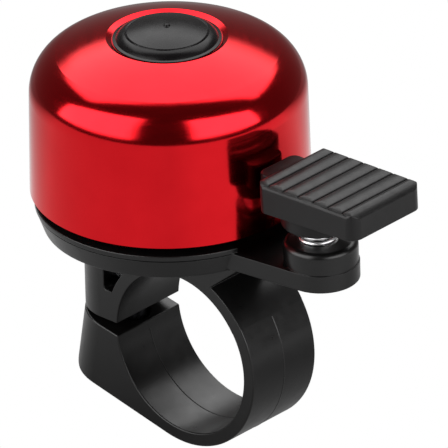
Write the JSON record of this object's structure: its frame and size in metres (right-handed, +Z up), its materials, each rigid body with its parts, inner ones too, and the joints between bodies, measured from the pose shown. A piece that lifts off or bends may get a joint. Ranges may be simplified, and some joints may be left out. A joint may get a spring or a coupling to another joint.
{
  "type": "bicycle bell",
  "caption": "Handlebar bell with a domed ringer over a round base, a spring-mounted thumb lever with a hammer, and a screw clamp.",
  "frame": {"origin": "centre of the handlebar bore, midway along the clamp band", "axes": "+Y along the handlebar, +X from the bell towards the thumb lever, +Z up through the dome"},
  "size_m": [0.0563, 0.0364, 0.056],
  "materials": {
    "dome_red": "mirror-polished, red anodised",
    "black_plastic": "black nylon, semi-gloss",
    "cap_plastic": "black, glossy",
    "spring_steel": "bright plated wire",
    "zinc_steel": "zinc-plated",
    "black_steel": "black oxide"
  },
  "bodies": {
    "bell": {"dome": "dome_red", "dome_cap": "cap_plastic", "dome_washer": "zinc_steel", "dome_screw": "zinc_steel", "base": "black_plastic", "clamp_nut": "zinc_steel"},
    "strap": {"clamp_strap": "black_plastic"},
    "screw": {"clamp_screw": "black_steel"},
    "spring": {"striker_spring": "spring_steel"},
    "lever": {"striker_lever": "black_plastic"}
  },
  "joints": [
    {"name": "clamp_screw_turn", "type": "hinge", "parent": "strap", "child": "screw", "pos_m": [-0.0141, 0, 0], "axis": [0, 0, -1], "range_deg": [0, 450]},
    {"name": "strap_flex", "type": "hinge", "parent": "bell", "child": "strap", "pos_m": [0.01082, 0, 0.00703], "axis": [0, -1, 0], "range_deg": [0, 2.2]},
    {"name": "striker_pull", "type": "hinge", "parent": "bell", "child": "spring", "pos_m": [0.0194, 0, 0.02215], "axis": [0, 1, 0], "range_deg": [-2.9, 20], "stiffness_Nm_per_rad": 0.045, "deforming": ["striker_spring"]},
    {"name": "striker_sway", "type": "hinge", "parent": "spring", "child": "lever", "pos_m": [0.0194, 0, 0.02215], "axis": [1, 0, 0], "range_deg": [-12, 12], "stiffness_Nm_per_rad": 0.045, "deforming": ["striker_spring"]}
  ],
  "couplings": [
    {"joint": "strap_flex", "follows": "clamp_screw_turn", "ratio": 0.004471}
  ]
}
